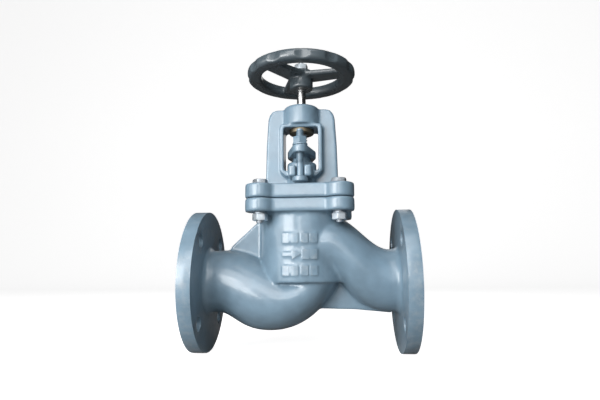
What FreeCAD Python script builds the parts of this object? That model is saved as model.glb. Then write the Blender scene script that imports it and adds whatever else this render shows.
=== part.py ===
"""Flanged globe valve, straight pattern, nominal bore 65 mm, pressure class 16 bar.

Axes: +X runs along the pipe from the inlet to the outlet, +Z runs up the stem, +Y points to the back.
The origin is the centre of the inlet flange's raised face. Each shape below is modelled about the
point where the stem axis crosses the pipe axis, and save() moves it half the face-to-face length along +X.
The valve is closed: the disc sits on the seat ring. Units are millimetres.
"""
import FreeCAD
import Part

import math
import os

V = FreeCAD.Vector
X, Y, Z = V(1, 0, 0), V(0, 1, 0), V(0, 0, 1)
CORNERS = [("front_left", -1, -1), ("front_right", 1, -1), ("back_left", -1, 1), ("back_right", 1, 1)]
SIDES = [("front", -1), ("back", 1)]

# ---- driving dimensions: pipe side ----
FACE_TO_FACE = 290.0
BORE_R = 32.5
WALL = 8.0
FLANGE_R = 92.5
FLANGE_RIM = 17.0            # thickness without the raised face
RAISED_R, RAISED_H = 59.0, 3.0
PIPE_BOLT_PCD = 145.0
PIPE_BOLT_R = {-1: 9.4, 1: 9.6}   # inlet and outlet; both sides of the nominal 9.5
NECK_R = BORE_R + WALL
NECK_X = 112.0               # where each neck runs into the swelling passage
ROOT_FILLET = 7.0            # where a neck meets its flange

# ---- chamber and its top flange ----
CHAMBER_R = 55.0
CHAMBER_BORE_R = 47.0
CHAMBER_FOOT = -2.0
CHAMBER_FLOOR = 4.0
PLATE_BOTTOM, PLATE_TOP = 86.0, 103.0
PLATE_HALF = 60.0            # half the width between the lugs
PLATE_BOLT = 50.0            # bolt centres stand at +-PLATE_BOLT in X and in Y
LUG_R = 19.0
REGISTER_R = 53.0            # recess that centres the bonnet
REGISTER_FLOOR = 99.0
GASKET_T = 2.0
COVER_BOTTOM, COVER_TOP = 103.5, 121.5
BOLT_R, BOLT_HOLE_R = 5.0, 5.5
RIB_T = 5.0                  # half thickness of the outside ribs
MARK_H = 1.4                 # how far the raised marks stand out

# ---- seat and disc ----
SEAT_OUT_R = 39.5
SEAT_BOTTOM, SEAT_TOP = -4.0, 9.0
DISC_R = 37.0
DISC_BOTTOM = 9.05
HEAD_BORE_R = 13.2           # socket in the disc for the stem's head
THREAD_PITCH = 4.0

# ---- stem and stuffing box ----
STEM_R = 8.0
SHANK_R = 6.2                # above the thread
SQUARE = 8.8                 # across the flats inside the wheel
FREE_R = 8.4                 # bores the stem passes without touching
RUN_R = 8.05                 # bores the stem runs in
BUSH_R, BUSH_TOP = 15.0, 112.0   # back-seat bush
TIP_R, TIP_Z = 5.0, 306.5
STUFFING_R = 20.0
STUFFING_BORE_R = 13.0
STUFFING_TOP = 159.0
PACKING_BASE = 118.0
PACKING_H, PACKING_RINGS = 5.0, 5

# ---- gland ----
GLAND_BOLT_Y = 35.0
GLAND_BOLT_R = 5.0
GLAND_PLATE = (165.5, 176.0)
LUG_Z = (134.0, 149.0)       # forked lugs that hold the gland bolt heads
LUG_SLOT = 5.6               # half width of the fork

# ---- yoke ----
FRAME_OUT, FRAME_IN = 29.0, 23.5
FRAME_Z = (138.0, 211.5)
BRIDGE_Z = 206.5             # underside of the bridge that carries the brass bush
FRAME_DEPTH = 19.0
WING_T = 5.0                 # half thickness
BOSS_R, BOSS_TOP = 24.5, 238.0
NUT_R = 14.0

# ---- handwheel ----
WHEEL_R, WHEEL_Z, WHEEL_H = 76.0, 279.0, 15.0
WHEEL_INNER_R = 59.0
HUB_R, HUB_Z = 16.5, (266.0, 293.0)
SPOKE_ANGLES = (-10.0, 110.0, 230.0)
SPOKE_Z = (281.5, 289.0)
LOBES = 12                   # shallow finger grips round the rim


# ---- small tools ----
def cyl(r, z0, z1, x=0.0, y=0.0):
    return Part.makeCylinder(r, z1 - z0, V(x, y, z0))


def box(x0, x1, y0, y1, z0, z1):
    return Part.makeBox(x1 - x0, y1 - y0, z1 - z0, V(x0, y0, z0))


def spin(*profile):
    """Solid of revolution about Z from (radius, z) corners."""
    corners = [V(r, 0, z) for r, z in profile]
    face = Part.Face(Part.makePolygon(corners + corners[:1]))
    return face.revolve(V(0, 0, 0), Z, 360)


def ring(r_in, r_out, z0, z1, x=0.0, y=0.0):
    return cyl(r_out, z0, z1, x, y).cut(cyl(r_in, z0 - 1, z1 + 1, x, y))


def plate_xz(corners, y0, y1):
    """Flat plate from (x, z) corners, between two planes of Y."""
    corners = [V(x, y0, z) for x, z in corners]
    face = Part.Face(Part.makePolygon(corners + corners[:1]))
    return face.extrude(V(0, y1 - y0, 0))


def hexagon(flats, z0, z1, x=0.0, y=0.0, turn=0.0):
    """Hexagonal prism with its corners turned off at both ends."""
    corner = flats / math.sqrt(3)
    angles = [math.radians(60 * k + turn) for k in range(7)]
    face = Part.Face(Part.makePolygon([V(corner * math.cos(a), corner * math.sin(a), z0) for a in angles]))
    drop = (corner - flats / 2) * 0.58
    turned = spin((0, z0), (flats / 2, z0), (corner + 0.01, z0 + drop), (corner + 0.01, z1 - drop),
                  (flats / 2, z1), (0, z1))
    return face.extrude(V(0, 0, z1 - z0)).common(turned).translated(V(x, y, 0))


def hex_nut(flats, r, z0, z1, x=0.0, y=0.0, turn=0.0):
    return hexagon(flats, z0, z1, x, y, turn).cut(cyl(r, z0 - 1, z1 + 1, x, y))


def threaded_rod(r, depth, pitch, z0, z1):
    """Rod whose thread is shown as plain rings, one a pitch, with a turned lead-in at each end."""
    profile = [(0, z0), (r - depth, z0)]
    turns = int((z1 - z0) / pitch)
    for k in range(turns):
        base = z0 + k * pitch
        profile += [(r - depth, base + 0.2 * pitch), (r, base + 0.4 * pitch),
                    (r, base + 0.7 * pitch), (r - depth, base + 0.9 * pitch)]
    profile += [(r - depth, z1), (0, z1)]
    return spin(*profile)


def rounded(shape, radius, wanted):
    """Rounds the edges that wanted(edge) picks: all together, or one by one where that fails."""
    edges = [e for e in shape.Edges if wanted(e)]
    if not edges:
        return shape
    try:
        done = shape.makeFillet(radius, edges)
        if done.isValid() and done.Volume > 0:
            return done
    except Exception:
        pass
    centres = [e.CenterOfMass for e in edges]
    for centre in centres:
        near = min(shape.Edges, key=lambda e: e.CenterOfMass.distanceToPoint(centre))
        for share in (1.0, 0.6):
            try:
                done = shape.makeFillet(radius * share, [near])
                if done.isValid() and done.Volume > 0:
                    shape = done
                    break
            except Exception:
                continue
    return shape


def section(bottom, top, half_width):
    """Closed ellipse standing on the (x, z) points bottom and top, half_width wide to each side in Y."""
    low, high = V(bottom[0], 0, bottom[1]), V(top[0], 0, top[1])
    centre, down, side = (low + high) * 0.5, (low - high) * 0.5, V(0, half_width, 0)
    poles, weights = [], []
    for k in range(9):
        a = math.radians(45 * k)
        reach = 1.0 if k % 2 == 0 else math.sqrt(2)
        poles.append(centre + down * (reach * math.cos(a)) + side * (reach * math.sin(a)))
        weights.append(1.0 if k % 2 == 0 else math.sqrt(0.5))
    curve = Part.BSplineCurve()
    curve.buildFromPolesMultsKnots(poles, [3, 2, 2, 2, 3], [0, 0.25, 0.5, 0.75, 1], False, 2, weights)
    return Part.Wire([curve.toShape()])


def passage(*stations):
    """Smooth solid through (bottom, top, half_width) stations."""
    return Part.makeLoft([section(*s) for s in stations], True, False)


def save(name, shape):
    shape = shape.translated(V(FACE_TO_FACE / 2, 0, 0))
    solids = shape.Solids
    if not solids or not all(s.isValid() for s in solids):
        print("PROBLEM", name, len(solids), [s.isValid() for s in solids])
    out = solids[0] if len(solids) == 1 else Part.makeCompound(solids)
    out.exportStep(f"parts/{name}.step")
    print(f"{name:26s} solids {len(solids)}  volume {out.Volume / 1000:9.2f} cm3", flush=True)


# ---- body ----
def lobed_plate(z0, z1):
    """Square flange with a round lug at each corner."""
    plate = box(-PLATE_HALF, PLATE_HALF, -PLATE_HALF, PLATE_HALF, z0, z1)
    for _, sx, sy in CORNERS:
        plate = plate.fuse(cyl(LUG_R, z0, z1, sx * PLATE_BOLT, sy * PLATE_BOLT))
    plate = plate.removeSplitter()
    plate = rounded(plate, 6.0, is_valley)
    return rounded(plate, 1.6, lambda e: e.BoundBox.ZLength < 1e-3)


def is_valley(edge):
    """The upright edges where a round lug meets the flat side of the flange."""
    size, at = edge.BoundBox, edge.CenterOfMass
    straight = size.XLength < 1e-3 and size.YLength < 1e-3
    return straight and min(abs(at.x), abs(at.y)) < PLATE_BOLT - 1


def bolt_holes(z0, z1, r):
    holes = [cyl(r, z0 - 1, z1 + 1, sx * PLATE_BOLT, sy * PLATE_BOLT) for _, sx, sy in CORNERS]
    return holes[0].multiFuse(holes[1:])


def end_flange(side):
    """Pipe flange with its raised face and a length of neck; side is -1 at the inlet, +1 at the outlet."""
    face = FACE_TO_FACE / 2
    rim = face - RAISED_H
    back = rim - FLANGE_RIM
    profile = [(0, NECK_X), (NECK_R, NECK_X), (NECK_R, back - ROOT_FILLET)]
    for k in range(1, 7):
        a = math.radians(15 * k)
        profile.append((NECK_R + ROOT_FILLET * (1 - math.cos(a)), back - ROOT_FILLET * (1 - math.sin(a))))
    profile += [(FLANGE_R - 1.5, back), (FLANGE_R, back + 1.5), (FLANGE_R, rim - 1), (FLANGE_R - 1, rim),
                (RAISED_R, rim), (RAISED_R, face), (0, face)]
    flange = spin(*profile)
    flange.rotate(V(0, 0, 0), Y, 90 * side)
    return flange


def pipe_holes():
    holes = []
    for side in (-1, 1):
        for k in range(4):
            a = math.radians(45 + 90 * k)
            at = V(side * 100, PIPE_BOLT_PCD / 2 * math.cos(a), PIPE_BOLT_PCD / 2 * math.sin(a))
            holes.append(Part.makeCylinder(PIPE_BOLT_R[side], 60, at, X * side))
    return holes[0].multiFuse(holes[1:])


def body_shell():
    """The two swelling passages and the upright chamber, fused and blended where they meet."""
    inlet = passage(((-NECK_X, -NECK_R), (-NECK_X, NECK_R), NECK_R), ((-97, -45), (-94, 40.5), 42.5),
                    ((-74, -58), (-66, 33), 46), ((-42, -64), (-44, 20), 49), ((-5, -56), (-24, 10), 49),
                    ((27, -32), (-12, 12), 48), ((50, 3), (-8, 14), 47))
    outlet = passage(((NECK_X, -NECK_R), (NECK_X, NECK_R), NECK_R), ((98, -38.3), (98, 46), 43),
                     ((82, -32.5), (82, 59), 47), ((65, -20), (65, 74), 50),
                     ((48, 0), (48, 84), 51), ((20, 6), (20, 84), 50))
    chamber = cyl(CHAMBER_R, CHAMBER_FOOT, PLATE_BOTTOM + 1)
    shell = chamber.fuse(inlet).fuse(outlet).removeSplitter()
    return rounded(shell, 4.0, is_side_junction)


def is_side_junction(edge):
    """The upright curves where the chamber wall runs into a passage."""
    size = edge.BoundBox
    return size.ZMin > CHAMBER_FOOT - 1 and size.ZLength > 25 and 30 < size.YLength < 60 and size.XLength < 40


def ribs():
    left = plate_xz([(-50, 90), (-56, 82), (-95, 46.5), (-104, 30), (-50, 15)], -RIB_T, RIB_T)
    right = plate_xz([(8, -36), (68, -37.3), (115, -41.6), (115, -20), (60, 10), (20, 0)], -RIB_T, RIB_T)
    return left, right


def marks():
    """Raised marks on the chamber's front: rows of plain tablets, and a plain flow arrow in the middle row."""
    half, rise = 4.0, 12.0
    outlines = [[(-21, 31), (-9, 31), (-9, 27), (1, 33), (-9, 39), (-9, 35), (-21, 35)]]
    for foot, middles in ((7, (-17, -6, 6, 17)), (27, (7.5, 17)), (47, (-17, -6, 6, 17))):
        for x in middles:
            outlines.append([(x - half, foot), (x + half, foot), (x + half, foot + rise), (x - half, foot + rise)])
    front, back = -(CHAMBER_R + MARK_H + 1), -(CHAMBER_R - 6)
    tops = cyl(CHAMBER_R + MARK_H, 0, PLATE_BOTTOM)
    return [plate_xz(outline, front, back).common(tops) for outline in outlines]


def cavity():
    inlet = passage(((-146, -BORE_R), (-146, BORE_R), BORE_R), ((-116, -BORE_R), (-116, BORE_R), BORE_R),
                    ((-98, -37), (-96, 31.5), 34), ((-72, -49.5), (-67, 22), 38),
                    ((-44, -55.5), (-47, -6), 41),
                    ((-6, -47.5), (-36, -8), 41), ((24, -26), (-35, -6), 38),
                    ((35, SEAT_BOTTOM + 0.5), (-35, SEAT_BOTTOM + 0.5), 35))
    outlet = passage(((146, -BORE_R), (146, BORE_R), BORE_R), ((116, -BORE_R), (116, BORE_R), BORE_R),
                     ((98, -30.5), (98, 37), 35), ((82, -24.5), (82, 50), 38), ((65, -11), (65, 65), 41),
                     ((50, 2), (50, 74), 42), ((34, CHAMBER_FLOOR + 1), (34, 78), 40))
    return [inlet, outlet, cyl(CHAMBER_BORE_R, CHAMBER_FLOOR, PLATE_TOP + 1),
            cyl(SEAT_OUT_R, SEAT_BOTTOM, SEAT_TOP), cyl(REGISTER_R, REGISTER_FLOOR, PLATE_TOP + 1),
            bolt_holes(PLATE_BOTTOM, PLATE_TOP, BOLT_HOLE_R), pipe_holes()]


def body():
    shape = body_shell()
    for piece in [end_flange(-1), end_flange(1), lobed_plate(PLATE_BOTTOM, PLATE_TOP), *ribs(), *marks()]:
        shape = shape.fuse(piece)
    for hollow in cavity():
        shape = shape.cut(hollow)
    save("body", shape)


def seat_ring():
    save("seat_ring", spin((BORE_R, SEAT_BOTTOM), (SEAT_OUT_R, SEAT_BOTTOM), (SEAT_OUT_R, SEAT_TOP - 3.5),
                           (SEAT_OUT_R - 2.5, SEAT_TOP), (BORE_R + 1, SEAT_TOP), (BORE_R, SEAT_TOP - 1)))


# ---- disc ----
def disc():
    inner, base, floor, hub_r, hub_top = BORE_R - 2, DISC_BOTTOM, 25.0, 17.0, 41.0
    save("disc", spin((0, base + 3), (inner, base + 3), (inner, base + 5), (DISC_R, base + 5),
                      (DISC_R, base + 11), (DISC_R - 3, base + 14), (hub_r + 5, base + 15.5),
                      (hub_r, base + 20), (hub_r, hub_top), (HEAD_BORE_R, hub_top), (HEAD_BORE_R, floor),
                      (0, floor)))


def disc_seat_face():
    inner, base = BORE_R - 2, DISC_BOTTOM
    save("disc_seat_face", spin((inner, base), (DISC_R, base), (DISC_R, base + 5), (inner, base + 5)))


def disc_nut():
    below, hub_top, top = 31.5, 41.0, 47.0
    skirt = cyl(HEAD_BORE_R, below, hub_top + 1)
    head = hexagon(32.0, hub_top, top)
    save("disc_nut", skirt.fuse(head).cut(cyl(RUN_R, below - 1, top + 1)).removeSplitter())


def disc_thrust_pad():
    save("disc_thrust_pad", cyl(9.0, 25.0, 27.0))


# ---- stem ----
def stem():
    """Head, back-seat collar, smooth shank, thread, upper shank, square for the wheel and threaded tip."""
    head_r, collar_r, depth, thread_foot, turns = 12.3, 12.0, 1.3, 178.0, 16
    profile = [(0, 27.05), (6, 27.05), (head_r, 28.3), (head_r, 31.0), (STEM_R, 31.45), (STEM_R, 68),
               (collar_r, 71), (collar_r, 75), (STEM_R, 76.8), (STEM_R, thread_foot)]
    for k in range(turns):
        low = thread_foot + k * THREAD_PITCH
        profile += [(STEM_R - depth, low + 0.6), (STEM_R - depth, low + 1.7)]
        profile += [(STEM_R, low + 2.2), (STEM_R, low + 3.6)]
    shoulder = thread_foot + turns * THREAD_PITCH
    profile += [(SHANK_R, shoulder + 1), (SHANK_R, HUB_Z[1] - 1), (TIP_R, HUB_Z[1] - 1), (TIP_R, TIP_Z - 1),
                (TIP_R - 1, TIP_Z), (0, TIP_Z)]
    half = SQUARE / 2
    square = box(-half, half, -half, half, HUB_Z[0] - 1, HUB_Z[1])
    waste = cyl(SHANK_R + 1, HUB_Z[0], HUB_Z[1] - 1).cut(square)
    save("stem", spin(*profile).cut(waste))


# ---- bonnet ----
def stuffing_box():
    top = STUFFING_TOP
    return spin((0, COVER_TOP - 1), (27, COVER_TOP - 1), (27, COVER_TOP), (23.5, COVER_TOP + 1.2),
                (21.2, COVER_TOP + 3.5), (STUFFING_R, COVER_TOP + 7), (STUFFING_R, top - 1.5),
                (STUFFING_R - 1.5, top), (0, top))


def gland_lug(side):
    """Forked lug that holds the head of one gland bolt; side is -1 at the front, +1 at the back."""
    y0, y1 = sorted((side * 14.0, side * 41.0))
    lug = box(-15.5, 15.5, y0, y1, *LUG_Z)
    return rounded(lug, 4.0, lambda e: e.BoundBox.ZLength > 5 and abs(e.CenterOfMass.y) > 30)


def lug_slot(side):
    y0, y1 = sorted((side * GLAND_BOLT_Y, side * 50))
    slot = box(-LUG_SLOT, LUG_SLOT, y0, y1, LUG_Z[0] - 1, LUG_Z[1] + 1)
    return slot.fuse(cyl(LUG_SLOT, LUG_Z[0] - 1, LUG_Z[1] + 1, 0, side * GLAND_BOLT_Y))


def along_y(edge):
    return edge.BoundBox.XLength < 1e-3 and edge.BoundBox.ZLength < 1e-3


def yoke_arms():
    """Two broad arms joined over the top, open from front to back, with a rib outside each arm."""
    foot, top = FRAME_Z
    outline = [(-FRAME_OUT, foot + 8), (-FRAME_OUT + 8, foot), (FRAME_OUT - 8, foot), (FRAME_OUT, foot + 8),
               (FRAME_OUT, top), (-FRAME_OUT, top)]
    frame = plate_xz(outline, -FRAME_DEPTH, FRAME_DEPTH)
    frame = rounded(frame, 5.0, lambda e: along_y(e) and abs(e.CenterOfMass.x) > FRAME_OUT - 1)
    frame = rounded(frame, 1.5, lambda e: abs(e.CenterOfMass.y) > FRAME_DEPTH - 1e-3)
    window = box(-FRAME_IN, FRAME_IN, -30, 30, foot + 8, BRIDGE_Z)
    window = rounded(window, 3.0, along_y)
    return frame.fuse(yoke_ribs()).cut(window)


def yoke_ribs():
    side = [(50, COVER_TOP - 1), (49.4, 150), (48.6, 185), (46.5, 222), (44.5, 229), (40, 234), (33, 236)]
    outline = side + [(-x, z) for x, z in reversed(side)]
    ribs_plate = plate_xz(outline, -WING_T, WING_T)
    return rounded(ribs_plate, 2.5, lambda e: e.BoundBox.YLength < 1e-3 and abs(e.CenterOfMass.x) > 45)


def bonnet():
    foot = REGISTER_FLOOR + GASKET_T
    spigot_r = REGISTER_R - 0.4
    spigot = spin((0, foot), (spigot_r - 1, foot), (spigot_r, foot + 1), (spigot_r, COVER_BOTTOM + 1),
                  (0, COVER_BOTTOM + 1))
    boss_foot = FRAME_Z[1] - 0.5
    boss = spin((0, boss_foot), (BOSS_R - 1, boss_foot), (BOSS_R, boss_foot + 1), (BOSS_R, BOSS_TOP - 2),
                (BOSS_R - 2, BOSS_TOP), (0, BOSS_TOP))
    shape = lobed_plate(COVER_BOTTOM, COVER_TOP).multiFuse([spigot, stuffing_box(), yoke_arms(), boss,
                                                           gland_lug(-1), gland_lug(1)])
    cuts = [spin((0, PACKING_BASE), (STUFFING_BORE_R, PACKING_BASE), (STUFFING_BORE_R, STUFFING_TOP - 1),
                 (STUFFING_BORE_R + 2, STUFFING_TOP + 1), (0, STUFFING_TOP + 1)),
            cyl(FREE_R, foot - 1, PACKING_BASE + 1), cyl(BUSH_R, foot - 1, BUSH_TOP),
            cyl(NUT_R, BRIDGE_Z - 1, BOSS_TOP + 1),
            bolt_holes(COVER_BOTTOM, COVER_TOP, BOLT_HOLE_R), set_screw_pin(NUT_R - 4, BOSS_R + 5),
            lug_slot(-1), lug_slot(1)]
    for cut in cuts:
        shape = shape.cut(cut)
    save("bonnet", shape.removeSplitter())


def bonnet_gasket():
    top = REGISTER_FLOOR + GASKET_T
    save("bonnet_gasket", ring(CHAMBER_BORE_R + 0.5, REGISTER_R - 0.2, REGISTER_FLOOR, top))


def back_seat_bush():
    foot = REGISTER_FLOOR + GASKET_T
    flange_r, flange_h = 18.0, 4.0
    low = foot - flange_h
    save("back_seat_bush", spin((FREE_R, low), (flange_r - 1, low), (flange_r, low + 1), (flange_r, foot),
                                (BUSH_R, foot), (BUSH_R, BUSH_TOP), (FREE_R, BUSH_TOP)))


# ---- packing and gland ----
def packing():
    foot = PACKING_BASE + 3
    save("packing_washer", ring(FREE_R, STUFFING_BORE_R - 0.1, PACKING_BASE, foot))
    for k in range(PACKING_RINGS):
        low = foot + k * PACKING_H
        save(f"packing_ring_{k + 1}", ring(RUN_R, STUFFING_BORE_R - 0.05, low, low + PACKING_H))


def gland_plate_outline(z0, z1):
    """Broad in the middle, narrowing to a rounded end round each bolt."""
    mid_r, end_r = 19.5, 10.0
    a = math.asin((mid_r - end_r) / GLAND_BOLT_Y)
    plate = cyl(mid_r, z0, z1)
    for _, side in SIDES:
        near, far = mid_r * math.sin(a), GLAND_BOLT_Y + end_r * math.sin(a)
        corners = [V(mid_r * math.cos(a), side * near, z0), V(end_r * math.cos(a), side * far, z0),
                   V(-end_r * math.cos(a), side * far, z0), V(-mid_r * math.cos(a), side * near, z0)]
        arm = Part.Face(Part.makePolygon(corners + corners[:1])).extrude(V(0, 0, z1 - z0))
        plate = plate.fuse(arm).fuse(cyl(end_r, z0, z1, 0, side * GLAND_BOLT_Y))
    return plate.removeSplitter()


def packing_gland():
    z0, z1 = GLAND_PLATE
    nose_foot = PACKING_BASE + 3 + PACKING_RINGS * PACKING_H
    plate = rounded(gland_plate_outline(z0, z1), 1.5, lambda e: e.BoundBox.ZLength < 1e-3)
    shape = plate.fuse(cyl(STUFFING_BORE_R - 0.3, nose_foot, z0 + 1)).cut(cyl(FREE_R, nose_foot - 1, z1 + 1))
    for _, side in SIDES:
        shape = shape.cut(cyl(GLAND_BOLT_R + 0.75, z0 - 1, z1 + 1, 0, side * GLAND_BOLT_Y))
    save("packing_gland", shape)


def gland_fasteners():
    top = GLAND_PLATE[1]
    for name, side in SIDES:
        y = side * GLAND_BOLT_Y
        seat = LUG_Z[0]
        head = spin((0, seat - 7), (9, seat - 7), (10, seat - 6), (10, seat - 1), (9, seat), (0, seat))
        head.translate(V(0, y, 0))
        rod = threaded_rod(GLAND_BOLT_R, 0.6, 1.5, LUG_Z[1] + 1, top + 22).translated(V(0, y, 0))
        plain = cyl(GLAND_BOLT_R - 0.6, LUG_Z[0] - 1, LUG_Z[1] + 2, 0, y)
        save(f"gland_bolt_{name}", head.multiFuse([rod, plain]).removeSplitter())
        save(f"gland_washer_{name}", ring(GLAND_BOLT_R + 0.3, 10, top, top + 2, 0, y))
        save(f"gland_nut_{name}", hex_nut(17.0, GLAND_BOLT_R, top + 2, top + 11, 0, y, 30))


# ---- yoke bush ----
def set_screw_pin(y0, y1):
    return Part.makeCylinder(3.0, y1 - y0, V(0, y0, 222), Y)


def yoke_bush():
    flange_r, flange_z = 17.0, BRIDGE_Z - 6
    shape = spin((RUN_R + 1, flange_z), (flange_r - 1, flange_z), (flange_r, flange_z + 1),
                 (flange_r, BRIDGE_Z), (NUT_R, BRIDGE_Z), (NUT_R, BOSS_TOP + 1), (RUN_R + 1, BOSS_TOP + 1),
                 (RUN_R, BOSS_TOP), (RUN_R, flange_z + 1))
    save("yoke_bush", shape.cut(set_screw_pin(NUT_R - 2, NUT_R + 2)))


def yoke_bush_set_screw():
    pin = set_screw_pin(NUT_R - 2, BOSS_R + 1.5)
    slot = box(-4, 4, BOSS_R, BOSS_R + 2, 221.5, 222.5)
    curved = Part.makeCylinder(NUT_R - 1.9, 10, V(0, 0, 217), Z)
    save("yoke_bush_set_screw", pin.cut(slot).cut(curved))


# ---- bonnet bolts ----
def bonnet_fasteners():
    flats, head_h, nut_h, washer_h, washer_r, tail = 17.0, 6.4, 8.4, 2.2, 8.7, 3.0
    seat = PLATE_BOTTOM - washer_h
    for place, sx, sy in CORNERS:
        x, y = sx * PLATE_BOLT, sy * PLATE_BOLT
        head = hexagon(flats, COVER_TOP, COVER_TOP + head_h, x, y, 15)
        foot = seat - nut_h - tail
        shank = cyl(BOLT_R, foot + 1, COVER_TOP + 1, x, y).fuse(cyl(BOLT_R - 0.8, foot, foot + 2, x, y))
        save(f"bonnet_bolt_{place}", head.fuse(shank).removeSplitter())
        save(f"bonnet_washer_{place}", ring(BOLT_R + 0.2, washer_r, seat, PLATE_BOTTOM, x, y))
        save(f"bonnet_nut_{place}", hex_nut(flats, BOLT_R, seat - nut_h, seat, x, y, 15))


# ---- handwheel ----
def spoke(angle):
    z0, z1 = SPOKE_Z
    near, far = 15.0, 11.5
    corners = [V(8, -near, z0), V(WHEEL_INNER_R + 4, -far, z0), V(WHEEL_INNER_R + 4, far, z0), V(8, near, z0)]
    arm = Part.Face(Part.makePolygon(corners + corners[:1])).extrude(V(0, 0, z1 - z0))
    arm = rounded(arm, 1.8, lambda e: e.BoundBox.XLength > 20)
    arm.rotate(V(0, 0, 0), Z, angle)
    return arm


def handwheel():
    z0, z1 = WHEEL_Z, WHEEL_Z + WHEEL_H
    rim = ring(WHEEL_INNER_R - 3, WHEEL_R, z0, z1)
    rim = rounded(rim, 5.5, lambda e: e.BoundBox.ZLength < 1e-3)
    finger_r, depth = 24.0, 2.8
    reach = WHEEL_R + finger_r - depth
    for k in range(LOBES):
        a = math.radians(360 / LOBES * k + 5)
        rim = rim.cut(cyl(finger_r, z0 - 1, z1 + 1, reach * math.cos(a), reach * math.sin(a)))
    hub = cyl(HUB_R, *HUB_Z)
    hub = rounded(hub, 2.0, lambda e: e.BoundBox.ZLength < 1e-3)
    shape = rim.multiFuse([hub] + [spoke(a) for a in SPOKE_ANGLES])
    half = SQUARE / 2
    save("handwheel", shape.cut(box(-half, half, -half, half, HUB_Z[0] - 1, HUB_Z[1] + 1)).removeSplitter())


def handwheel_fasteners():
    save("handwheel_washer", ring(TIP_R + 0.2, 11, HUB_Z[1], HUB_Z[1] + 2))
    save("handwheel_nut", hex_nut(17.0, TIP_R, HUB_Z[1] + 2, HUB_Z[1] + 10, 0, 0, 20))


def main():
    os.makedirs("parts", exist_ok=True)
    body()
    seat_ring()
    disc()
    disc_seat_face()
    disc_nut()
    disc_thrust_pad()
    stem()
    bonnet()
    bonnet_gasket()
    back_seat_bush()
    packing()
    packing_gland()
    gland_fasteners()
    yoke_bush()
    yoke_bush_set_screw()
    bonnet_fasteners()
    handwheel()
    handwheel_fasteners()


if __name__ == "__main__":
    main()
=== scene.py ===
from math import asin, cos, pi, radians, sin

import bmesh
import bpy
from bpy.props import FloatProperty, FloatVectorProperty, IntProperty, PointerProperty
from mathutils import Matrix, Vector


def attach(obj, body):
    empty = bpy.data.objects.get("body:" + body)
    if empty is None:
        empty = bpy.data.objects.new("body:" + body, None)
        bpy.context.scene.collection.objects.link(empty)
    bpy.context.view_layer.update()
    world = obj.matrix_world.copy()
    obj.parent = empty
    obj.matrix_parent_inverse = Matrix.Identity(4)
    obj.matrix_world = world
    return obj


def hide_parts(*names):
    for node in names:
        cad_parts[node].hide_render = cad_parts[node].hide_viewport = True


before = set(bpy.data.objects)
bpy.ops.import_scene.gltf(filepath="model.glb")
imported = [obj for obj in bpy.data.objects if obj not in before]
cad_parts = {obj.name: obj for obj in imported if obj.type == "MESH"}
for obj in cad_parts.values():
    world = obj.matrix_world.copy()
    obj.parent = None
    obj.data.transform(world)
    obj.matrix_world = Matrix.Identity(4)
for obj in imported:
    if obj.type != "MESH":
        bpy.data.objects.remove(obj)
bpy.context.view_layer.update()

bl_info = {
    "name": "Flanged globe valve",
    "version": (1, 0, 0),
    "blender": (4, 5, 0),
    "location": "View3D > Sidebar > Globe valve",
    "description": "Builds the castings, stem, handwheel, fasteners and stage of a flanged globe valve",
    "category": "Object",
}

STEM_X = 0.145          # the stem axis stands here along the pipe
CASTING_REACH = 0.1145  # the casting's skin ends this far from the stem axis, inside the flange necks
LIGHT_DISTANCE = 1.75
CORNERS = ("front_left", "front_right", "back_left", "back_right")


# ---------------------------------------------------------------- settings
class ValveCastingSettings(bpy.types.PropertyGroup):
    colour: FloatVectorProperty(name="Enamel", description="Colour of the enamel on the castings",
                                subtype="COLOR", size=3, min=0, max=1, default=(0.147, 0.222, 0.285))
    roughness: FloatProperty(name="Roughness", description="Roughness of the enamel", subtype="FACTOR",
                             min=0, max=1, default=0.34)
    skin: FloatProperty(name="Skin", description="Spacing of the even mesh laid over the body casting",
                        unit="LENGTH", min=0.001, default=0.0016)
    bonnet_skin: FloatProperty(name="Bonnet skin", description="Spacing of the mesh over the bonnet",
                               unit="LENGTH", min=0.0008, default=0.00125)
    softening: IntProperty(name="Softening", description="Rounds of smoothing that give the cast fillets",
                           min=0, default=8)


class ValveFlangeSettings(bpy.types.PropertyGroup):
    radius: FloatProperty(name="Radius", description="Outside radius of the pipe flanges", unit="LENGTH",
                          default=0.0925)
    raised_radius: FloatProperty(name="Raised face", description="Radius of the raised face",
                                 unit="LENGTH", default=0.059)
    neck_radius: FloatProperty(name="Neck", description="Outside radius of the neck", unit="LENGTH",
                               default=0.0405)
    bore_radius: FloatProperty(name="Bore", description="Radius of the port", unit="LENGTH", default=0.0325)
    bolt_circle: FloatProperty(name="Bolt circle", description="Radius of the bolt circle", unit="LENGTH",
                               default=0.0725)
    inlet_hole: FloatProperty(name="Inlet bolt hole", description="Radius of a hole at the inlet",
                              unit="LENGTH", default=0.0094)
    outlet_hole: FloatProperty(name="Outlet bolt hole", description="Radius of a hole at the outlet",
                               unit="LENGTH", default=0.0096)
    edge: FloatProperty(name="Edge", description="Rounding of the turned edges", unit="LENGTH",
                        default=0.0011)


class ValveStemSettings(bpy.types.PropertyGroup):
    radius: FloatProperty(name="Radius", description="Radius of the stem", unit="LENGTH", default=0.008)
    pitch: FloatProperty(name="Pitch", description="Lift of the stem for one turn", unit="LENGTH",
                         default=0.004)
    depth: FloatProperty(name="Thread depth", description="Depth of the stem thread", unit="LENGTH",
                         default=0.0013)


class ValveWheelSettings(bpy.types.PropertyGroup):
    colour: FloatVectorProperty(name="Wheel enamel", description="Colour of the handwheel", subtype="COLOR",
                                size=3, min=0, max=1, default=(0.060, 0.078, 0.090))
    skin: FloatProperty(name="Skin", description="Spacing of the mesh over the wheel", unit="LENGTH",
                        default=0.0011)


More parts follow.
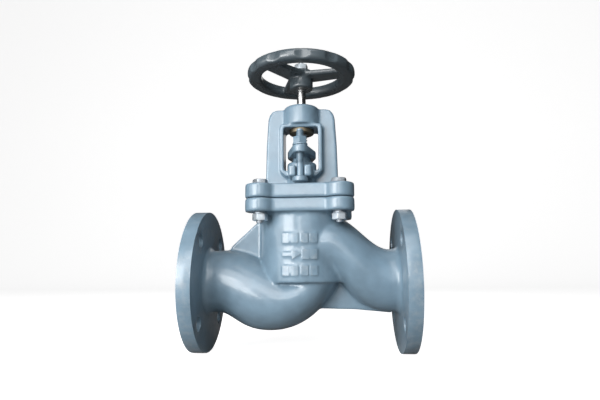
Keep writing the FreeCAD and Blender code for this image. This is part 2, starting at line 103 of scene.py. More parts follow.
class ValveStageSettings(bpy.types.PropertyGroup):
    floor_colour: FloatVectorProperty(name="Floor", description="Colour of the floor and backdrop",
                                      subtype="COLOR", size=3, min=0, max=1, default=(0.90, 0.90, 0.90))
    sky: FloatProperty(name="Sky", description="Strength of the light from all round", min=0, default=0.02)
    backdrop: FloatProperty(name="Backdrop", description="White of the surround where it is seen directly",
                            min=0, default=0.95)
    key: FloatProperty(name="Key light", description="Power of the low light at the left", unit="POWER",
                       default=32.0)
    front: FloatProperty(name="Front light", description="Power of the light above the camera", unit="POWER",
                         default=14.5)
    side: FloatProperty(name="Side light", description="Power of the light far to the left", unit="POWER",
                        default=7.0)
    top: FloatProperty(name="Top light", description="Power of the high light at the right", unit="POWER",
                       default=7.0)
    right: FloatProperty(name="Right light", description="Power of the low light at the right", unit="POWER",
                         default=4.0)
    glint: FloatProperty(name="Glint", description="Power of the small light the flat fronts mirror",
                         unit="POWER", default=3.0)
    back: FloatProperty(name="Back light", description="Power of the light behind", unit="POWER", default=2.0)
    floor_glow: FloatProperty(name="Floor glow",
                              description="White added to the floor where it is seen directly",
                              min=0, default=0.86)


# ---------------------------------------------------------------- shader groups
def add(tree, kind, **values):
    """A node with its sockets set by name; spaces in a socket's name are written as underscores."""
    made = tree.nodes.new(kind)
    for key, value in values.items():
        socket = made.inputs.get(key.replace("_", " "))
        if socket is None:
            setattr(made, key, value)
        elif hasattr(value, "is_output"):
            tree.links.new(value, socket)
        else:
            socket.default_value = value
    return made


def maths(tree, operation, a, b=0.5, clamp=False):
    made = tree.nodes.new("ShaderNodeMath")
    made.operation = operation
    made.use_clamp = clamp
    for socket, value in zip(made.inputs, (a, b)):
        if hasattr(value, "is_output"):
            tree.links.new(value, socket)
        else:
            socket.default_value = value
    return made.outputs[0]


def between(tree, value, low, high, out_low=0.0, out_high=1.0):
    made = add(tree, "ShaderNodeMapRange", Value=value)
    for name, number in (("From Min", low), ("From Max", high), ("To Min", out_low), ("To Max", out_high)):
        made.inputs[name].default_value = number
    return made.outputs[0]


def blend(tree, mask, first, second):
    """Colour mix: first where the mask is 0, second where it is 1."""
    made = tree.nodes.new("ShaderNodeMix")
    made.data_type = "RGBA"
    for socket, value in ((made.inputs[0], mask), (made.inputs[6], first), (made.inputs[7], second)):
        if hasattr(value, "is_output"):
            tree.links.new(value, socket)
        elif hasattr(value, "__len__"):
            socket.default_value = (*value[:3], 1.0)
        else:
            socket.default_value = value
    return made.outputs[2]


def start_group(name, inputs, outputs):
    tree = bpy.data.node_groups.new(name, "ShaderNodeTree")
    for label, kind, value in inputs:
        socket = tree.interface.new_socket(name=label, in_out="INPUT", socket_type=kind)
        if value is not None:
            socket.default_value = value
    for label, kind in outputs:
        tree.interface.new_socket(name=label, in_out="OUTPUT", socket_type=kind)
    return tree, tree.nodes.new("NodeGroupInput"), tree.nodes.new("NodeGroupOutput")


def cast_grain_group():
    """Height of a sand-cast surface under enamel: broad unevenness, sand grain and fine orange peel."""
    tree, given, out = start_group("Cast grain", [
        ("Vector", "NodeSocketVector", None), ("Lumps", "NodeSocketFloat", 1.0),
        ("Grain", "NodeSocketFloat", 0.25), ("Peel", "NodeSocketFloat", 0.12)],
        [("Height", "NodeSocketFloat"), ("Tone", "NodeSocketFloat")])
    where = given.outputs["Vector"]
    lumps = add(tree, "ShaderNodeTexNoise", Vector=where, Scale=55.0, Detail=2.0, Roughness=0.45)
    grain = add(tree, "ShaderNodeTexNoise", Vector=where, Scale=420.0, Detail=3.0, Roughness=0.6)
    peel = add(tree, "ShaderNodeTexNoise", Vector=where, Scale=1500.0, Detail=1.0)
    height = maths(tree, "MULTIPLY", lumps.outputs["Fac"], given.outputs["Lumps"])
    height = maths(tree, "ADD", height, maths(tree, "MULTIPLY", grain.outputs["Fac"], given.outputs["Grain"]))
    height = maths(tree, "ADD", height, maths(tree, "MULTIPLY", peel.outputs["Fac"], given.outputs["Peel"]))
    tree.links.new(height, out.inputs["Height"])
    tree.links.new(between(tree, lumps.outputs["Fac"], 0.3, 0.7), out.inputs["Tone"])
    return tree


def edge_wear_group():
    """Mask of the edges that handling rubs: 1 on sharp outer edges, broken up by noise."""
    tree, given, out = start_group("Edge wear", [
        ("Vector", "NodeSocketVector", None), ("Start", "NodeSocketFloat", 0.56),
        ("Amount", "NodeSocketFloat", 0.5)], [("Mask", "NodeSocketFloat")])
    point = tree.nodes.new("ShaderNodeNewGeometry").outputs["Pointiness"]
    patches = add(tree, "ShaderNodeTexNoise", Vector=given.outputs["Vector"], Scale=130.0, Detail=6.0,
                  Roughness=0.7)
    lift = maths(tree, "SUBTRACT", point, given.outputs["Start"])
    lift = maths(tree, "MULTIPLY", lift, 14.0, clamp=True)
    broken = between(tree, patches.outputs["Fac"], 0.45, 0.62)
    mask = maths(tree, "MULTIPLY", maths(tree, "MULTIPLY", lift, broken), given.outputs["Amount"], clamp=True)
    tree.links.new(mask, out.inputs["Mask"])
    return tree


def dust_group():
    """Mask of the fine dust that lies on upward faces."""
    tree, given, out = start_group("Dust", [
        ("Vector", "NodeSocketVector", None), ("Amount", "NodeSocketFloat", 0.3)],
        [("Mask", "NodeSocketFloat")])
    normal = tree.nodes.new("ShaderNodeNewGeometry").outputs["Normal"]
    split = add(tree, "ShaderNodeSeparateXYZ", Vector=normal)
    up = between(tree, split.outputs["Z"], 0.35, 1.0)
    cloud = add(tree, "ShaderNodeTexNoise", Vector=given.outputs["Vector"], Scale=90.0, Detail=5.0,
                Roughness=0.65)
    mask = maths(tree, "MULTIPLY", up, between(tree, cloud.outputs["Fac"], 0.35, 0.75))
    tree.links.new(maths(tree, "MULTIPLY", mask, given.outputs["Amount"], clamp=True), out.inputs["Mask"])
    return tree


def turning_group():
    """Height and tone of tool marks round an axis; the vector is centred on that axis, along its Z."""
    tree, given, out = start_group("Tool marks", [
        ("Vector", "NodeSocketVector", None), ("Lines", "NodeSocketFloat", 1800.0)],
        [("Height", "NodeSocketFloat"), ("Tone", "NodeSocketFloat")])
    split = add(tree, "ShaderNodeSeparateXYZ", Vector=given.outputs["Vector"])
    flat = add(tree, "ShaderNodeCombineXYZ", X=split.outputs["X"], Y=split.outputs["Y"])
    radius = add(tree, "ShaderNodeVectorMath", operation="LENGTH")
    tree.links.new(flat.outputs[0], radius.inputs[0])
    along = add(tree, "ShaderNodeCombineXYZ", X=radius.outputs["Value"], Z=split.outputs["Z"])
    lines = add(tree, "ShaderNodeTexNoise", Vector=along.outputs[0], Scale=given.outputs["Lines"], Detail=2.0)
    tree.links.new(lines.outputs["Fac"], out.inputs["Height"])
    tree.links.new(between(tree, lines.outputs["Fac"], 0.3, 0.7), out.inputs["Tone"])
    return tree


def shared(name):
    makers = {"Cast grain": cast_grain_group, "Edge wear": edge_wear_group, "Dust": dust_group,
              "Tool marks": turning_group}
    return bpy.data.node_groups.get(name) or makers[name]()


def place(tree, name, **values):
    made = tree.nodes.new("ShaderNodeGroup")
    made.node_tree = shared(name)
    for key, value in values.items():
        socket = made.inputs[key]
        if hasattr(value, "is_output"):
            tree.links.new(value, socket)
        else:
            socket.default_value = value
    return made


# ---------------------------------------------------------------- materials
def start_material(name, metallic=0.0, coat=0.0, coat_roughness=0.1):
    found = bpy.data.materials.get(name)
    if found:
        return found, None, None, None
    material = bpy.data.materials.new(name)
    material.use_nodes = True
    tree = material.node_tree
    shader = tree.nodes["Principled BSDF"]
    shader.inputs["Metallic"].default_value = metallic
    shader.inputs["Coat Weight"].default_value = coat
    shader.inputs["Coat Roughness"].default_value = coat_roughness
    return material, tree, shader, tree.nodes.new("ShaderNodeTexCoord").outputs["Object"]


def darker(colour, share):
    return tuple(channel * share for channel in colour)


def connect(tree, shader, colour, roughness, height, distance):
    tree.links.new(colour, shader.inputs["Base Color"])
    tree.links.new(roughness, shader.inputs["Roughness"])
    bump = add(tree, "ShaderNodeBump", Height=height, Distance=distance, Strength=1.0)
    tree.links.new(bump.outputs[0], shader.inputs["Normal"])


def enamel(name, colour, roughness, wear=0.25, lumps=1.0, distance=0.0006):
    """Semi-gloss enamel sprayed over sand-cast iron."""
    material, tree, shader, where = start_material(name, coat=0.35, coat_roughness=0.12)
    if tree is None:
        return material
    grain = place(tree, "Cast grain", Vector=where, Lumps=lumps, Grain=0.16, Peel=0.035)
    rubbed = place(tree, "Edge wear", Vector=where, Start=0.575, Amount=wear)
    dust = place(tree, "Dust", Vector=where, Amount=0.16)
    shade = blend(tree, grain.outputs["Tone"], darker(colour, 0.90), darker(colour, 1.08))
    shade = blend(tree, rubbed.outputs["Mask"], shade, (0.33, 0.35, 0.36))
    shade = blend(tree, dust.outputs["Mask"], shade, (0.45, 0.45, 0.43))
    gloss = between(tree, grain.outputs["Tone"], 0, 1, roughness - 0.05, roughness + 0.06)
    gloss = maths(tree, "ADD", gloss, maths(tree, "MULTIPLY", dust.outputs["Mask"], 0.5))
    connect(tree, shader, shade, gloss, grain.outputs["Height"], distance)
    return material


def plated_steel(name, colour, roughness, patches=0.25):
    """Zinc-plated steel with a faint crystalline mottling."""
    material, tree, shader, where = start_material(name, metallic=1.0)
    if tree is None:
        return material
    cloud = add(tree, "ShaderNodeTexNoise", Vector=where, Scale=260.0, Detail=5.0, Roughness=0.6)
    fine = add(tree, "ShaderNodeTexNoise", Vector=where, Scale=2600.0, Detail=2.0)
    mask = between(tree, cloud.outputs["Fac"], 0.4, 0.66, 0.0, patches)
    shade = blend(tree, mask, colour, darker(colour, 0.62))
    rubbed = place(tree, "Edge wear", Vector=where, Start=0.56, Amount=0.5)
    shade = blend(tree, rubbed.outputs["Mask"], shade, (0.88, 0.88, 0.88))
    gloss = between(tree, cloud.outputs["Fac"], 0.3, 0.7, roughness - 0.06, roughness + 0.12)
    connect(tree, shader, shade, gloss, fine.outputs["Fac"], 0.00003)
    return material


def turned_metal(name, colour, roughness, axis_turn=(0, 0, 0), centre=(STEM_X, 0, 0), lines=1800.0,
                 depth=0.00002):
    """Metal with fine tool marks round its axis."""
    material, tree, shader, where = start_material(name, metallic=1.0)
    if tree is None:
        return material
    centred = add(tree, "ShaderNodeMapping", Vector=where, vector_type="TEXTURE", Location=centre,
                  Rotation=axis_turn)
    marks = place(tree, "Tool marks", Vector=centred.outputs[0], Lines=lines)
    cloud = add(tree, "ShaderNodeTexNoise", Vector=where, Scale=120.0, Detail=4.0)
    shade = blend(tree, marks.outputs["Tone"], darker(colour, 0.80), colour)
    shade = blend(tree, between(tree, cloud.outputs["Fac"], 0.5, 0.75, 0.0, 0.3), shade, darker(colour, 0.7))
    gloss = between(tree, marks.outputs["Tone"], 0, 1, roughness, roughness + 0.12)
    connect(tree, shader, shade, gloss, marks.outputs["Height"], depth)
    return material


def pressed_graphite(name):
    material, tree, shader, where = start_material(name)
    if tree is None:
        return material
    weave = add(tree, "ShaderNodeTexNoise", Vector=where, Scale=900.0, Detail=4.0)
    shade = blend(tree, weave.outputs["Fac"], (0.018, 0.018, 0.02), (0.07, 0.07, 0.075))
    gloss = between(tree, weave.outputs["Fac"], 0.3, 0.7, 0.5, 0.8)
    connect(tree, shader, shade, gloss, weave.outputs["Fac"], 0.0001)
    return material


def body_enamel(context):
    settings = context.scene.valve_casting
    return enamel("Blue-grey enamel", settings.colour, settings.roughness)


def zinc():
    return plated_steel("Bright zinc", (0.64, 0.70, 0.75), 0.44)


def dull_steel():
    return plated_steel("Dull plated steel", (0.40, 0.44, 0.48), 0.46, 0.4)


def bright_steel():
    return turned_metal("Ground stem steel", (0.66, 0.66, 0.66), 0.16)


def trim_steel():
    return turned_metal("Turned stainless", (0.56, 0.56, 0.55), 0.24)


def brass():
    return turned_metal("Turned brass", (0.70, 0.50, 0.20), 0.24)


# Brass set far darker than its own colour: painted shade for the shadow under the yoke's bridge, where the
# bush sits.
def shade_darkened_brass():
    return turned_metal("Brass darkened for painted shade", (0.20, 0.17, 0.12), 0.45)


# ---------------------------------------------------------------- mesh tools
def copy_of(node):
    """A merged copy of a CAD node's mesh."""
    bm = bmesh.new()
    bm.from_mesh(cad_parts[node].data)
    bmesh.ops.remove_doubles(bm, verts=bm.verts, dist=1e-6)
    return bm


def show(bm, name, material, body, replaces=(), corner=35.0, more=()):
    """Turns a bmesh into a finished piece that rides on a body and may stand for CAD nodes."""
    mesh = bpy.data.meshes.new(name)
    bm.to_mesh(mesh)
    bm.free()
    for face in mesh.polygons:
        face.use_smooth = True
    mesh.set_sharp_from_angle(angle=radians(corner))
    for each in (material, *more):
        mesh.materials.append(each)
    piece = bpy.data.objects.new(name, mesh)
    bpy.context.scene.collection.objects.link(piece)
    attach(piece, body)
    if replaces:
        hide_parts(*replaces)
    return piece


def settled(bm, *modifiers):
    """The bmesh after modifiers, each given as (type, settings)."""
    mesh = bpy.data.meshes.new("settling")
    bm.to_mesh(mesh)
    bm.free()
    holder = bpy.data.objects.new("settling", mesh)
    bpy.context.scene.collection.objects.link(holder)
    for kind, values in modifiers:
        modifier = holder.modifiers.new(kind.title(), kind)
        for key, value in values.items():
            setattr(modifier, key, value)
    depsgraph = bpy.context.evaluated_depsgraph_get()
    result = bmesh.new()
    result.from_object(holder, depsgraph)
    bpy.data.objects.remove(holder)
    bpy.data.meshes.remove(mesh)
    return result


def cast_skin(bm, spacing, rounds):
    """An even skin over the shape, softened so that every inside corner has a fillet."""
    return settled(bm, ("REMESH", {"mode": "VOXEL", "voxel_size": spacing}),
                   ("SMOOTH", {"factor": 0.5, "iterations": rounds}))


def cut_away(bm, at, outward):
    bmesh.ops.bisect_plane(bm, geom=bm.verts[:] + bm.edges[:] + bm.faces[:], plane_co=at, plane_no=outward,
                           clear_outer=True)


def ease_edges(bm, width, segments=2, over=30.0, wanted=None):
    """Bevels every edge sharper than the given angle."""
    sharp = [edge for edge in bm.edges if len(edge.link_faces) == 2
             and edge.calc_face_angle(0) > radians(over) and (wanted is None or wanted(edge))]
    bmesh.ops.bevel(bm, geom=sharp, offset=width, offset_type="OFFSET", segments=segments, profile=0.5,
                    affect="EDGES", material=-1, clamp_overlap=True)


def lathe(bm, profile, steps, axis=Vector((0, 0, 1)), centre=Vector((STEM_X, 0, 0)),
          across=Vector((1, 0, 0))):
    """Spins a closed outline of (radius, along) points about an axis."""
    verts = [bm.verts.new(centre + across * r + axis * along) for r, along in profile]
    edges = [bm.edges.new(pair) for pair in zip(verts, verts[1:] + verts[:1])]
    bmesh.ops.spin(bm, geom=verts + edges, cent=centre, axis=axis, angle=2 * pi, steps=steps,
                   use_merge=True)
    bmesh.ops.remove_doubles(bm, verts=bm.verts, dist=1e-7)
    bmesh.ops.recalc_face_normals(bm, faces=bm.faces)


def screw_thread(bm, radius, depth, pitch, low, high, x, y, steps=28):
    """Helical thread from low to high, closed by a plain ring at each end."""
    turns = max(1, round((high - low) / pitch) - 1)
    core = radius - depth
    shape = ((core, 0.0), (core, 0.18), (radius, 0.42), (radius, 0.64), (core, 0.88))
    points = [(r, low + (k + share) * pitch) for k in range(turns) for r, share in shape]
    points.append((core, low + turns * pitch))
    verts = [bm.verts.new((x + r, y, z)) for r, z in points]
    edges = [bm.edges.new(pair) for pair in zip(verts, verts[1:])]
    bmesh.ops.spin(bm, geom=verts + edges, cent=(x, y, 0), axis=(0, 0, 1), angle=2 * pi, steps=steps,
                   dvec=(0, 0, pitch / steps))
    bmesh.ops.remove_doubles(bm, verts=bm.verts, dist=2e-6)


def dressed(node, edge, material, body):
    """A machined part: the CAD shape with its flat faces joined and its edges eased."""
    bm = copy_of(node)
    bmesh.ops.dissolve_limit(bm, angle_limit=radians(0.5), verts=bm.verts, edges=bm.edges)
    ease_edges(bm, edge)
    return show(bm, node + "_dressed", material, body, (node,))


# ---------------------------------------------------------------- castings
class VALVE_OT_casting(bpy.types.Operator):
    """Cast body between the pipe flanges, with soft fillets"""
    bl_idname = "valve.casting"
    bl_label = "Body casting"

    def execute(self, context):
        settings = context.scene.valve_casting
        bm = cast_skin(copy_of("body"), settings.skin, settings.softening)
        cut_away(bm, (STEM_X - CASTING_REACH, 0, 0), (-1, 0, 0))
        cut_away(bm, (STEM_X + CASTING_REACH, 0, 0), (1, 0, 0))
        show(bm, "body_casting", body_enamel(context), "casing", ("body",), 180)
        return {"FINISHED"}


class VALVE_OT_end_flanges(bpy.types.Operator):
    """Turned pipe flanges with raised faces and bolt holes"""
    bl_idname = "valve.end_flanges"
    bl_label = "End flanges"

    def execute(self, context):
        for name, side in (("inlet", -1), ("outlet", 1)):
            self.flange(context, name, side)
        return {"FINISHED"}

    def flange(self, context, name, side):
        s = context.scene.valve_flanges
        root, back, rim, face = 0.007, 0.125, 0.142, 0.145
        arc = [(s.neck_radius + root * (1 - cos(radians(a))), back - root * (1 - sin(radians(a))))
               for a in range(0, 91, 15)]
        profile = [(s.bore_radius, 0.112), (s.neck_radius, 0.112), *arc, (s.radius, back), (s.radius, rim),
                   (s.raised_radius, rim), (s.raised_radius, face), (s.bore_radius, face)]
        along = Vector((side, 0, 0))
        bm = bmesh.new()
        lathe(bm, profile, 160, axis=along, across=Vector((0, 0, 1)))
        bm = self.drilled(bm, s, side)
        ease_edges(bm, s.edge, 3, 40, lambda e: abs(e.verts[0].co.x - STEM_X) > 0.119)
        raw_limit = s.raised_radius - 0.0004
        for f in bm.faces:
            at = f.calc_center_median()
            reach = (at.y ** 2 + at.z ** 2) ** 0.5
            if abs(at.x - STEM_X) > face - 0.0004 and reach < raw_limit or reach < s.bore_radius + 0.0002:
                f.material_index = 1
        machined = turned_metal("Machined flange face", (0.30, 0.30, 0.295), 0.36, (0, radians(90), 0),
                                (0, 0, 0), 900.0, 0.00012)
        show(bm, name + "_flange", body_enamel(context), "casing", (), 40, (machined,))

    def drilled(self, bm, s, side):
        cutter = bmesh.new()
        hole = s.inlet_hole if side < 0 else s.outlet_hole
        for k in range(4):
            a = radians(45 + 90 * k)
            at = Vector((STEM_X + side * 0.135, s.bolt_circle * cos(a), s.bolt_circle * sin(a)))
            along_pipe = Matrix.Translation(at) @ Matrix.Rotation(radians(90), 4, "Y")
            bmesh.ops.create_cone(cutter, cap_ends=True, segments=48, radius1=hole, radius2=hole, depth=0.06,
                                  matrix=along_pipe)
        mesh = bpy.data.meshes.new("cutter")
        cutter.to_mesh(mesh)
        cutter.free()
        tool = bpy.data.objects.new("cutter", mesh)
        bpy.context.scene.collection.objects.link(tool)
        result = settled(bm, ("BOOLEAN", {"operation": "DIFFERENCE", "solver": "EXACT", "object": tool}))
        bpy.data.objects.remove(tool)
        return result


class VALVE_OT_marks(bpy.types.Operator):
    """Raised rows of plain tablets and a flow arrow, wrapped round the chamber's front"""
    bl_idname = "valve.marks"
    bl_label = "Raised marks"

    def execute(self, context):
        radius, sunk, height = 0.055, 0.0010, 0.0026
        outlines = [[(-21, 31), (-9, 31), (-9, 27), (1, 33), (-9, 39), (-9, 35), (-21, 35)]]
        for foot, middles in ((7, (-17, -6, 6, 17)), (27, (7.5, 17)), (47, (-17, -6, 6, 17))):
            top = foot + 12
            outlines += [[(x - 4, foot), (x + 4, foot), (x + 4, top), (x - 4, top)] for x in middles]
        bm = bmesh.new()
        for outline in outlines:
            bm.faces.new([bm.verts.new((x / 1000, 0, z / 1000)) for x, z in outline])
        for x in range(-20, 21, 2):
            bmesh.ops.bisect_plane(bm, geom=bm.verts[:] + bm.edges[:] + bm.faces[:],
                                   plane_co=(x / 1000, 0, 0), plane_no=(1, 0, 0))
        grown = bmesh.ops.extrude_face_region(bm, geom=bm.faces[:])
        tops = [v for v in grown["geom"] if isinstance(v, bmesh.types.BMVert)]
        bmesh.ops.translate(bm, verts=tops, vec=(0, -height, 0))
        bmesh.ops.recalc_face_normals(bm, faces=bm.faces)
        ease_edges(bm, 0.0005, 3, 40)
        for v in bm.verts:
            turn, reach = asin(v.co.x / radius), radius - sunk - v.co.y
            v.co = (STEM_X + reach * sin(turn), -reach * cos(turn), v.co.z)
        show(bm, "raised_marks", body_enamel(context), "casing", (), 40)
        return {"FINISHED"}


class VALVE_OT_bonnet(bpy.types.Operator):
    """Cast bonnet with its stuffing box, yoke arms and boss"""
    bl_idname = "valve.bonnet"
    bl_label = "Bonnet"

    def execute(self, context):
        settings = context.scene.valve_casting
        bm = cast_skin(copy_of("bonnet"), settings.bonnet_skin, settings.softening)
        show(bm, "bonnet_casting", body_enamel(context), "casing", ("bonnet",), 180)
        return {"FINISHED"}


class VALVE_OT_gland(bpy.types.Operator):
    """Oval packing gland, its hammer-head bolts, washers and nuts"""
    bl_idname = "valve.gland"
    bl_label = "Packing gland"

    def execute(self, context):
        bm = cast_skin(copy_of("packing_gland"), 0.0007, 6)
        painted = body_enamel(context)
        show(bm, "gland_casting", painted, "casing", ("packing_gland",), 180)
        for which, y in (("front", -0.035), ("back", 0.035)):
            bm = bmesh.new()
            lathe(bm, [(0, 0.127), (0.009, 0.127), (0.010, 0.128), (0.010, 0.133), (0.009, 0.134),
                       (0.0046, 0.134), (0.0046, 0.1515), (0, 0.1515)], 40, centre=Vector((STEM_X, y, 0)))
            screw_thread(bm, 0.005, 0.0008, 0.0015, 0.1500, 0.1970, STEM_X, y)
            lathe(bm, [(0, 0.1960), (0.0042, 0.1960), (0.0042, 0.1975), (0.0036, 0.1980), (0, 0.1980)], 28,
                  centre=Vector((STEM_X, y, 0)))
            node = "gland_bolt_" + which
            show(bm, node + "_threaded", painted, "casing", (node,), 25)
            dressed("gland_washer_" + which, 0.0002, painted, "casing")
            dressed("gland_nut_" + which, 0.0003, painted, "casing")
        return {"FINISHED"}


class VALVE_OT_bonnet_fasteners(bpy.types.Operator):
    """Bonnet bolts, washers and nuts at the corner lugs"""
    bl_idname = "valve.bonnet_fasteners"
    bl_label = "Bonnet fasteners"

    def execute(self, context):
        for corner in CORNERS:
            dressed("bonnet_bolt_" + corner, 0.0003, dull_steel(), "casing")
            dressed("bonnet_washer_" + corner, 0.0002, dull_steel(), "casing")
            dressed("bonnet_nut_" + corner, 0.0003, zinc(), "casing")
        return {"FINISHED"}


class VALVE_OT_stem(bpy.types.Operator):
    """Stem with its helical thread"""
    bl_idname = "valve.stem"
    bl_label = "Stem"

    def execute(self, context):
        s = context.scene.valve_stem
        r, core = s.radius, s.radius - s.depth
        half, shank, tip = 0.0044, 0.0062, 0.005
        bm = bmesh.new()
        lathe(bm, [(0, 0.02705), (0.006, 0.02705), (0.0123, 0.0283), (0.0123, 0.031), (r, 0.03145),
                   (r, 0.068), (0.012, 0.071), (0.012, 0.075), (r, 0.0768), (r, 0.1775), (core, 0.1785),
                   (core, 0.180), (0, 0.180)], 64)
        screw_thread(bm, r, s.depth, s.pitch, 0.1780, 0.2440, STEM_X, 0.0, 64)
        lathe(bm, [(0, 0.240), (core, 0.240), (core, 0.2422), (shank, 0.243), (shank, 0.2658),
                   (0, 0.2658)], 64)
        lathe(bm, [(0, 0.2915), (tip - 0.0008, 0.2915), (tip - 0.0008, 0.3055), (tip - 0.0016, 0.3065),
                   (0, 0.3065)], 40)
        screw_thread(bm, tip, 0.0009, 0.0015, 0.2920, 0.3060, STEM_X, 0.0, 40)
        bmesh.ops.create_cube(bm, size=1.0, matrix=Matrix.Translation((STEM_X, 0, 0.2788))
                              @ Matrix.Diagonal((2 * half, 2 * half, 0.0264, 1)))
        show(bm, "stem_threaded", bright_steel(), "stem", ("stem",), 25)
        return {"FINISHED"}


class VALVE_OT_handwheel(bpy.types.Operator):
    """Lobed handwheel with its washer and nut"""
    bl_idname = "valve.handwheel"
    bl_label = "Handwheel"

    def execute(self, context):
        s = context.scene.valve_wheel
        bm = cast_skin(copy_of("handwheel"), s.skin, 9)
        paint = enamel("Charcoal enamel", s.colour, 0.30, 0.12, 0.8, 0.0004)
        show(bm, "handwheel_casting", paint, "stem", ("handwheel",), 180)
        dressed("handwheel_washer", 0.0002, zinc(), "stem")
        dressed("handwheel_nut", 0.0003, zinc(), "stem")
        return {"FINISHED"}


class VALVE_OT_trim(bpy.types.Operator):
    """Seat, disc, bushes, packing and gasket"""
    bl_idname = "valve.trim"
    bl_label = "Trim and packing"

    def execute(self, context):
        iron = turned_metal("Turned iron", (0.22, 0.22, 0.22), 0.38)
        graphite = pressed_graphite("Pressed graphite")
        parts = [("seat_ring", trim_steel(), "casing", "trim_steel"),
                 ("back_seat_bush", trim_steel(), "casing", "trim_steel"),
                 ("packing_washer", trim_steel(), "casing", "trim_steel"),
                 # The yoke bush takes the darkened brass, which paints in the shade under the bridge.
                 ("yoke_bush", shade_darkened_brass(), "casing", "brass"),
                 ("yoke_bush_set_screw", dull_steel(), "casing", "zinc"),
                 ("bonnet_gasket", graphite, "casing", "graphite"), ("disc", iron, "disc", "disc_iron"),
                 ("disc_seat_face", trim_steel(), "disc", "trim_steel"),
                 ("disc_nut", brass(), "disc", "brass"),
                 ("disc_thrust_pad", bright_steel(), "disc", "stem_steel")]
        parts += [(f"packing_ring_{k}", graphite, "casing", "graphite") for k in range(1, 6)]
        for node, material, body, slot in parts:
            dressed(node, 0.0003, material, body)
        return {"FINISHED"}


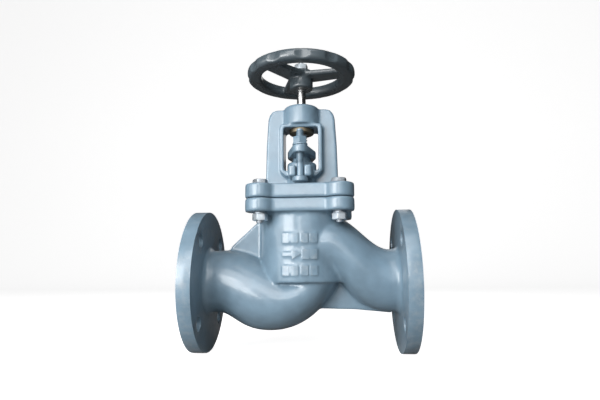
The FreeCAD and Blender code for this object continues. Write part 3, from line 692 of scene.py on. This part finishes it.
# ---------------------------------------------------------------- stage
class VALVE_OT_stage(bpy.types.Operator):
    """Pale floor and backdrop, soft lights and the camera"""
    bl_idname = "valve.stage"
    bl_label = "Stage"

    def execute(self, context):
        s = context.scene.valve_stage
        self.floor(s)
        self.sky(context, s)
        for name, round_by, height, size, power in (
                ("Key", -35, 8, 0.9, s.key), ("Front", -10, 30, 0.9, s.front), ("Side", -65, 8, 0.9, s.side),
                ("Top", 15, 55, 0.9, s.top), ("Right", 15, 8, 0.9, s.right), ("Glint", -4, 8, 0.3, s.glint),
                ("Back", 180, 30, 0.9, s.back)):
            self.light(name, radians(round_by), radians(height), size, power)
        self.camera(context)
        return {"FINISHED"}

    def floor(self, s):
        bm = bmesh.new()
        level, sweep, depth = -0.0925, 1.5, 2.5
        profile = [(-4.0, level), (depth, level)]
        profile += [(depth + sweep * sin(radians(a)), level + sweep * (1 - cos(radians(a))))
                    for a in range(6, 91, 6)]
        profile.append((depth + sweep, 5.0))
        verts = [bm.verts.new((-7, y, z)) for y, z in profile]
        edges = [bm.edges.new(pair) for pair in zip(verts, verts[1:])]
        grown = bmesh.ops.extrude_edge_only(bm, edges=edges)
        far_edge = [v for v in grown["geom"] if isinstance(v, bmesh.types.BMVert)]
        bmesh.ops.translate(bm, verts=far_edge, vec=(14, 0, 0))
        bmesh.ops.recalc_face_normals(bm, faces=bm.faces)
        mesh = bpy.data.meshes.new("floor")
        bm.to_mesh(mesh)
        bm.free()
        for face in mesh.polygons:
            face.use_smooth = True
        material, tree, shader, where = start_material("Pale floor")
        cloud = add(tree, "ShaderNodeTexNoise", Vector=where, Scale=3.0, Detail=3.0)
        shade = blend(tree, cloud.outputs["Fac"], darker(s.floor_colour, 0.98), s.floor_colour)
        tree.links.new(shade, shader.inputs["Base Color"])
        shader.inputs["Roughness"].default_value = 0.7
        self.lift(tree, shader, s.floor_glow)
        mesh.materials.append(material)
        floor = bpy.data.objects.new("floor", mesh)
        bpy.context.scene.collection.objects.link(floor)

    def lift(self, tree, shader, strength):
        """Adds white to what is seen directly, so the floor is pale but throws little light up."""
        seen = tree.nodes.new("ShaderNodeLightPath").outputs["Is Camera Ray"]
        glow = tree.nodes.new("ShaderNodeEmission")
        tree.links.new(maths(tree, "MULTIPLY", seen, strength), glow.inputs["Strength"])
        dim = tree.nodes.new("ShaderNodeBsdfDiffuse")
        dim.inputs["Color"].default_value = (0.30, 0.30, 0.30, 1)
        kind = tree.nodes.new("ShaderNodeMixShader")
        tree.links.new(seen, kind.inputs[0])
        tree.links.new(dim.outputs[0], kind.inputs[1])
        tree.links.new(shader.outputs[0], kind.inputs[2])
        both = tree.nodes.new("ShaderNodeAddShader")
        tree.links.new(kind.outputs[0], both.inputs[0])
        tree.links.new(glow.outputs[0], both.inputs[1])
        tree.links.new(both.outputs[0], tree.nodes["Material Output"].inputs["Surface"])

    def sky(self, context, s):
        world = bpy.data.worlds.new("Pale surround")
        world.use_nodes = True
        tree = world.node_tree
        seen = tree.nodes.new("ShaderNodeLightPath").outputs["Is Camera Ray"]
        strength = maths(tree, "MAXIMUM", maths(tree, "MULTIPLY", seen, s.backdrop), s.sky)
        tree.links.new(strength, tree.nodes["Background"].inputs["Strength"])
        tree.nodes["Background"].inputs["Color"].default_value = (1, 1, 1, 1)
        context.scene.world = world
        context.scene.view_settings.view_transform = "Standard"

    def light(self, name, round_by, height, size, power):
        """A square soft box; round_by turns it about the stem from the front, towards the right."""
        away = Vector((sin(round_by) * cos(height), -cos(round_by) * cos(height), sin(height)))
        data = bpy.data.lights.new(name, "AREA")
        data.shape = "SQUARE"
        data.size = size
        data.energy = power
        lamp = bpy.data.objects.new(name, data)
        lamp.location = Vector((STEM_X, 0, 0.1)) + away * LIGHT_DISTANCE
        lamp.rotation_euler = (-away).to_track_quat("-Z", "Y").to_euler()
        bpy.context.scene.collection.objects.link(lamp)

    def camera(self, context):
        data = bpy.data.cameras.new("Camera")
        data.sensor_width = 36.0
        data.lens = 28.277
        yaw, pitch, roll = -0.0704, 0.1525, -0.0069
        ahead = Vector((sin(yaw) * cos(pitch), cos(yaw) * cos(pitch), sin(pitch)))
        right = ahead.cross(Vector((0, 0, 1))).normalized()
        up = right.cross(ahead)
        right, up = right * cos(roll) + up * sin(roll), up * cos(roll) - right * sin(roll)
        camera = bpy.data.objects.new("Camera", data)
        turn = Matrix((right, up, -ahead)).transposed().to_4x4()
        camera.matrix_world = Matrix.Translation((STEM_X + 0.04193, -0.63562, 0.01070)) @ turn
        context.scene.collection.objects.link(camera)
        context.scene.camera = camera


# ---------------------------------------------------------------- panel and registration
OPERATORS = (VALVE_OT_casting, VALVE_OT_end_flanges, VALVE_OT_marks, VALVE_OT_bonnet, VALVE_OT_gland,
             VALVE_OT_bonnet_fasteners, VALVE_OT_stem, VALVE_OT_handwheel, VALVE_OT_trim, VALVE_OT_stage)
SETTINGS = {"valve_casting": ValveCastingSettings, "valve_flanges": ValveFlangeSettings,
            "valve_stem": ValveStemSettings, "valve_wheel": ValveWheelSettings,
            "valve_stage": ValveStageSettings}


class VALVE_PT_panel(bpy.types.Panel):
    """Settings and builders of the globe valve"""
    bl_idname = "VALVE_PT_panel"
    bl_label = "Globe valve"
    bl_space_type = "VIEW_3D"
    bl_region_type = "UI"
    bl_category = "Globe valve"

    def draw(self, context):
        for name, group in SETTINGS.items():
            column = self.layout.box().column()
            for prop in group.__annotations__:
                column.prop(getattr(context.scene, name), prop)
        for operator in OPERATORS:
            self.layout.operator(operator.bl_idname)


def register():
    for each in (*SETTINGS.values(), *OPERATORS, VALVE_PT_panel):
        bpy.utils.register_class(each)
    for name, group in SETTINGS.items():
        setattr(bpy.types.Scene, name, PointerProperty(type=group))


def unregister():
    for name in SETTINGS:
        delattr(bpy.types.Scene, name)
    for each in (VALVE_PT_panel, *reversed(OPERATORS), *SETTINGS.values()):
        bpy.utils.unregister_class(each)


def main():
    register()
    for operator in OPERATORS:
        group, name = operator.bl_idname.split(".")
        getattr(getattr(bpy.ops, group), name)()


if __name__ == "__main__":
    main()
